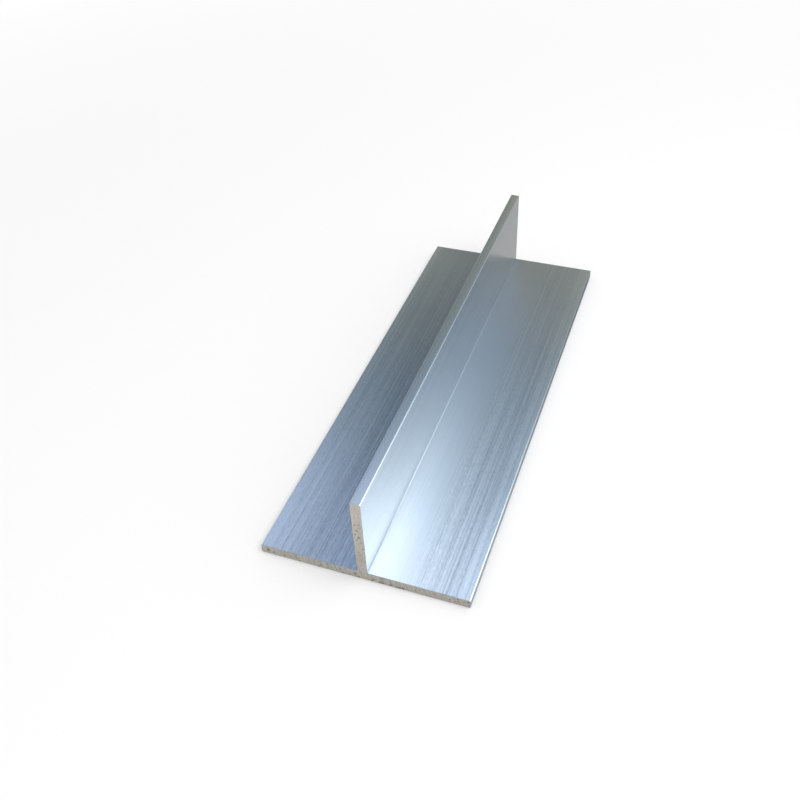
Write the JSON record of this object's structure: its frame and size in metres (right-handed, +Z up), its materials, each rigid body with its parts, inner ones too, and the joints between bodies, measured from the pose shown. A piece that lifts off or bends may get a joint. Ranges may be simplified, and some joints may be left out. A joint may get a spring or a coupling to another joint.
{
  "type": "aluminium tee extrusion profile",
  "caption": "Short sawn length of mill-finish aluminium tee stock: a flat flange with an upright web along its middle, for joining, edging or stiffening panels.",
  "frame": {"origin": "middle of the flange's underside, halfway along the length", "axes": "+X across the flange, +Y along the length, +Z up the web, away from the surface that the flange lies on"},
  "size_m": [0.1, 0.258, 0.05],
  "materials": {
    "mill_aluminium": "mill finish with fine lengthwise die lines, ends as sawn"
  },
  "bodies": {
    "root": {"tee_profile": "mill_aluminium"}
  },
  "joints": []
}
